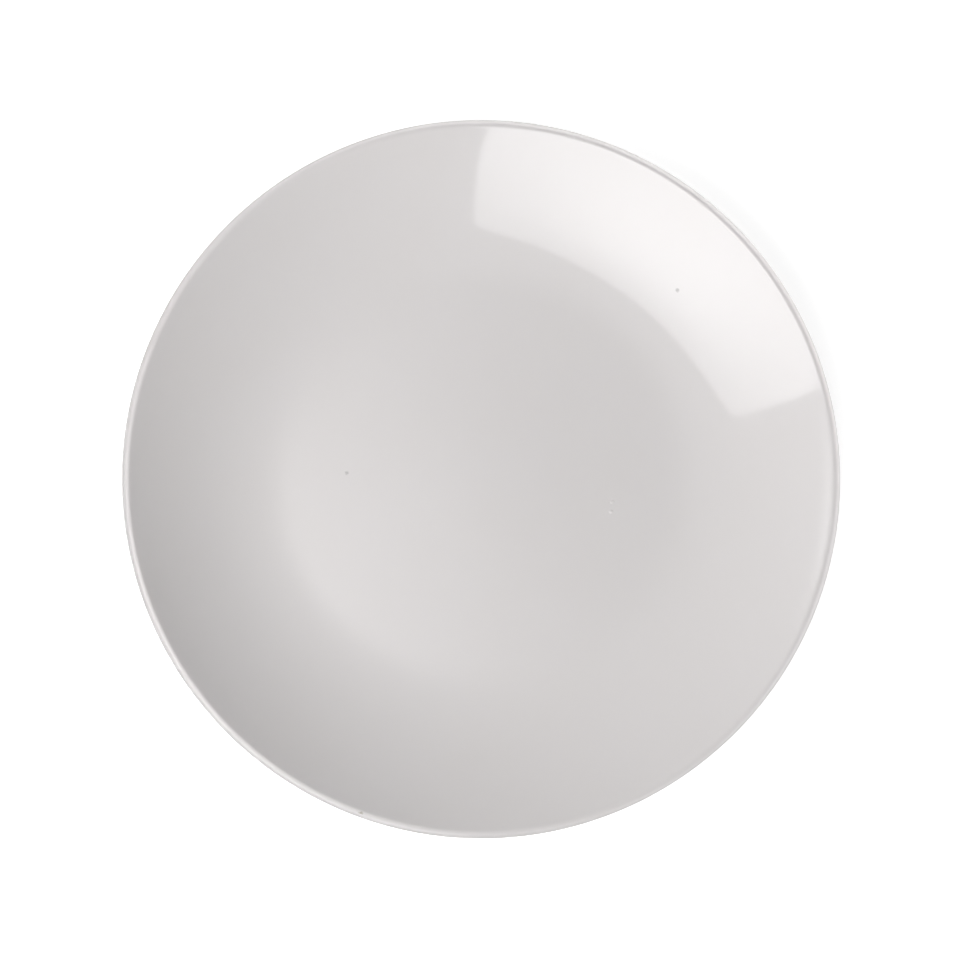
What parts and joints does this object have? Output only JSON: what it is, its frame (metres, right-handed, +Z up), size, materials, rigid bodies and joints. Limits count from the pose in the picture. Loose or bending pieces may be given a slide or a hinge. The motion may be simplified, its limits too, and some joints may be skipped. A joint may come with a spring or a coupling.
{
  "type": "charger plate",
  "caption": "Round coupe charger plate in glazed white ceramic: a level well that curves up to a full-round lip, on a low foot ring left bare to stand on.",
  "frame": {"origin": "centre of the circle that the plate stands on, in the plane of the bare foot", "axes": "+Z up through the middle of the well; +X and +Y are any two directions at right angles, because the plate is round"},
  "size_m": [0.305, 0.305, 0.0305],
  "materials": {
    "bisque": "matte",
    "glaze": "gloss"
  },
  "bodies": {
    "root": {"ceramic_body": "bisque", "face_glaze": "glaze", "back_glaze": "glaze", "foot_well_glaze": "glaze"}
  },
  "joints": []
}
